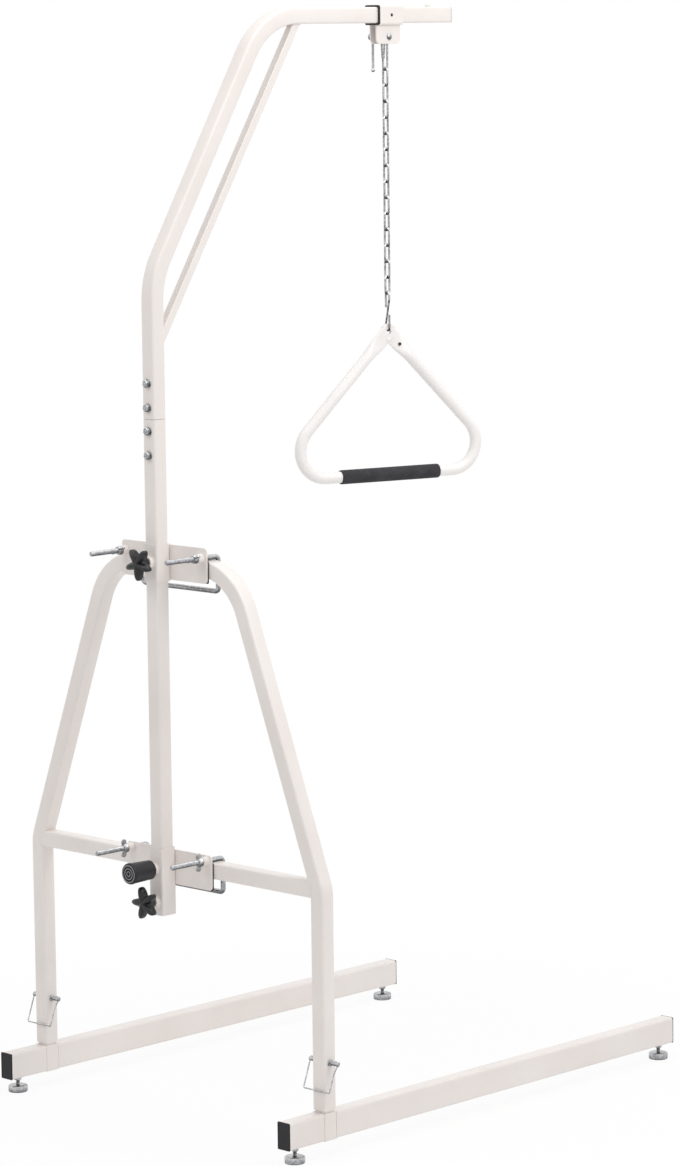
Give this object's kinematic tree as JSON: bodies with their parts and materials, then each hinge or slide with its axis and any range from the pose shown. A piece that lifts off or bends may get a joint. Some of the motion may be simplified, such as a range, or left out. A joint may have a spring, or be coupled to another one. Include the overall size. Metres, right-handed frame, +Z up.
{
  "type": "bed trapeze",
  "caption": "Free-standing bed trapeze: A-frame on two floor rails, clamped mast with a cranked braced arm, and a chain that hangs a triangular hand grip.",
  "frame": {"origin": "middle of the bounding box in plan, on the floor under the feet", "axes": "+Z up, +Y along the rails and the overhead arm, from the A-frame towards the bed, +X across the rails"},
  "size_m": [0.812, 1.0686, 2.025],
  "materials": {
    "frame_paint": "satin powder coat",
    "zinc_plate": "bright zinc plate",
    "black_rubber": "matt",
    "black_plastic": "fine grain",
    "light_plastic": "smooth"
  },
  "bodies": {
    "frame": {"left_base_rail": "frame_paint", "left_front_plug": "black_rubber", "left_heel_plug": "black_rubber", "right_base_rail": "frame_paint", "right_front_plug": "black_rubber", "right_heel_plug": "black_rubber", "a_frame_hoop": "frame_paint", "crossbar": "frame_paint", "left_lock_pin": "zinc_plate", "right_lock_pin": "zinc_plate", "upper_bracket": "frame_paint", "upper_bracket_pad": "black_rubber", "upper_clamp_rod": "zinc_plate", "lower_bracket": "frame_paint", "lower_bracket_pad": "black_rubber", "lower_clamp_rod": "zinc_plate", "bumper_cap": "black_rubber"},
    "left_heel_foot": {"left_heel_foot": "zinc_plate"},
    "left_front_foot": {"left_front_foot": "zinc_plate"},
    "left_pin_bail": {"left_pin_bail": "zinc_plate"},
    "right_heel_foot": {"right_heel_foot": "zinc_plate"},
    "right_front_foot": {"right_front_foot": "zinc_plate"},
    "right_pin_bail": {"right_pin_bail": "zinc_plate"},
    "upper_left_wing_nut": {"upper_left_wing_nut": "zinc_plate"},
    "upper_right_wing_nut": {"upper_right_wing_nut": "zinc_plate"},
    "upper_star_knob": {"upper_star_knob": "black_plastic"},
    "lower_left_wing_nut": {"lower_left_wing_nut": "zinc_plate"},
    "lower_right_wing_nut": {"lower_right_wing_nut": "zinc_plate"},
    "lower_star_knob": {"lower_star_knob": "black_plastic"},
    "mast": {"lower_mast": "frame_paint", "mast_connector": "zinc_plate", "mast_bolt_1": "zinc_plate", "mast_bolt_2": "zinc_plate", "mast_bolt_3": "zinc_plate", "mast_bolt_4": "zinc_plate", "upper_mast_arm": "frame_paint", "arm_brace": "frame_paint", "arm_end_plug": "light_plastic", "arm_stop_button": "light_plastic"},
    "hanger": {"hanger_sleeve": "frame_paint", "hanger_liner": "black_plastic"},
    "clamp_screw": {"clamp_screw": "zinc_plate"},
    "tommy_bar": {"tommy_bar": "zinc_plate"},
    "pear_link": {"pear_link": "zinc_plate"},
    "spare_link": {"spare_link": "zinc_plate"},
    "chain_pair_1": {"chain_pair_1": "zinc_plate"},
    "chain_pair_2": {"chain_pair_2": "zinc_plate"},
    "chain_pair_3": {"chain_pair_3": "zinc_plate"},
    "chain_pair_4": {"chain_pair_4": "zinc_plate"},
    "chain_pair_5": {"chain_pair_5": "zinc_plate"},
    "chain_pair_6": {"chain_pair_6": "zinc_plate"},
    "chain_pair_7": {"chain_pair_7": "zinc_plate"},
    "s_hook": {"s_hook": "zinc_plate"},
    "handle": {"grip_handle": "frame_paint", "hand_grip": "black_rubber", "handle_rivet": "zinc_plate"}
  },
  "joints": [
    {"name": "left_heel_foot_screw", "type": "slide", "parent": "frame", "child": "left_heel_foot", "axis": [0, 0, 1], "range_m": [-0.015, 0]},
    {"name": "left_front_foot_screw", "type": "slide", "parent": "frame", "child": "left_front_foot", "axis": [0, 0, 1], "range_m": [-0.015, 0]},
    {"name": "left_pin_bail_hinge", "type": "hinge", "parent": "frame", "child": "left_pin_bail", "pos_m": [-0.37, -0.41175, 0.169], "axis": [-1, 0, 0], "range_deg": [0, 100]},
    {"name": "right_heel_foot_screw", "type": "slide", "parent": "frame", "child": "right_heel_foot", "axis": [0, 0, 1], "range_m": [-0.015, 0]},
    {"name": "right_front_foot_screw", "type": "slide", "parent": "frame", "child": "right_front_foot", "axis": [0, 0, 1], "range_m": [-0.015, 0]},
    {"name": "right_pin_bail_hinge", "type": "hinge", "parent": "frame", "child": "right_pin_bail", "pos_m": [0.37, -0.41175, 0.169], "axis": [-1, 0, 0], "range_deg": [0, 100]},
    {"name": "upper_left_wing_nut_turn", "type": "hinge", "parent": "frame", "child": "upper_left_wing_nut", "pos_m": [-0.099, -0.44665, 1.0473], "axis": [0, 1, 0], "range_deg": [0, 720]},
    {"name": "upper_right_wing_nut_turn", "type": "hinge", "parent": "frame", "child": "upper_right_wing_nut", "pos_m": [0.099, -0.44665, 1.0473], "axis": [0, 1, 0], "range_deg": [0, 720]},
    {"name": "upper_star_knob_turn", "type": "hinge", "parent": "frame", "child": "upper_star_knob", "pos_m": [0, -0.47685, 1.035], "axis": [0, 1, 0], "range_deg": [0, 720]},
    {"name": "lower_left_wing_nut_turn", "type": "hinge", "parent": "frame", "child": "lower_left_wing_nut", "pos_m": [-0.099, -0.44665, 0.4973], "axis": [0, 1, 0], "range_deg": [0, 720]},
    {"name": "lower_right_wing_nut_turn", "type": "hinge", "parent": "frame", "child": "lower_right_wing_nut", "pos_m": [0.099, -0.44665, 0.4973], "axis": [0, 1, 0], "range_deg": [0, 720]},
    {"name": "lower_star_knob_turn", "type": "hinge", "parent": "frame", "child": "lower_star_knob", "pos_m": [0, -0.47685, 0.415], "axis": [0, 1, 0], "range_deg": [0, 720]},
    {"name": "mast_height", "type": "slide", "parent": "frame", "child": "mast", "axis": [0, 0, 1], "range_m": [0, 0.08]},
    {"name": "hanger_travel", "type": "slide", "parent": "mast", "child": "hanger", "axis": [0, 1, 0], "range_m": [-0.17, 0.08]},
    {"name": "clamp_screw_turn", "type": "hinge", "parent": "hanger", "child": "clamp_screw", "pos_m": [0, 0.1568, 1.966], "axis": [1, 0, 0], "range_deg": [0, 720]},
    {"name": "tommy_bar_slide", "type": "slide", "parent": "clamp_screw", "child": "tommy_bar", "axis": [0, 0, 1], "range_m": [0, 0.047]},
    {"name": "pear_link_swing", "type": "hinge", "parent": "hanger", "child": "pear_link", "pos_m": [0, 0.1568, 1.966], "axis": [1, 0, 0], "range_deg": [-15, 25]},
    {"name": "spare_link_swing", "type": "hinge", "parent": "hanger", "child": "spare_link", "pos_m": [-0.005, 0.1568, 1.966], "axis": [1, 0, 0], "range_deg": [-35, 35]},
    {"name": "chain_pair_1_swing", "type": "hinge", "parent": "pear_link", "child": "chain_pair_1", "pos_m": [0, 0.1568, 1.9083], "axis": [1, 0, 0], "range_deg": [-5, 15]},
    {"name": "chain_pair_2_swing", "type": "hinge", "parent": "chain_pair_1", "child": "chain_pair_2", "pos_m": [0, 0.1568, 1.844], "axis": [0, 1, 0], "range_deg": [-20, 20]},
    {"name": "chain_pair_3_swing", "type": "hinge", "parent": "chain_pair_2", "child": "chain_pair_3", "pos_m": [0, 0.1568, 1.7883], "axis": [1, 0, 0], "range_deg": [-5, 15]},
    {"name": "chain_pair_4_swing", "type": "hinge", "parent": "chain_pair_3", "child": "chain_pair_4", "pos_m": [0, 0.1568, 1.724], "axis": [0, 1, 0], "range_deg": [-20, 20]},
    {"name": "chain_pair_5_swing", "type": "hinge", "parent": "chain_pair_4", "child": "chain_pair_5", "pos_m": [0, 0.1568, 1.6683], "axis": [1, 0, 0], "range_deg": [-5, 15]},
    {"name": "chain_pair_6_swing", "type": "hinge", "parent": "chain_pair_5", "child": "chain_pair_6", "pos_m": [0, 0.1568, 1.604], "axis": [0, 1, 0], "range_deg": [-20, 20]},
    {"name": "chain_pair_7_swing", "type": "hinge", "parent": "chain_pair_6", "child": "chain_pair_7", "pos_m": [0, 0.1568, 1.5483], "axis": [1, 0, 0], "range_deg": [-5, 15]},
    {"name": "s_hook_swing", "type": "hinge", "parent": "chain_pair_7", "child": "s_hook", "pos_m": [0, 0.1568, 1.484], "axis": [0, 1, 0], "range_deg": [-20, 20]},
    {"name": "handle_swing", "type": "hinge", "parent": "s_hook", "child": "handle", "pos_m": [0, 0.1568, 1.41476], "axis": [0.9563, -0.2924, 0], "range_deg": [-20, 25]}
  ]
}
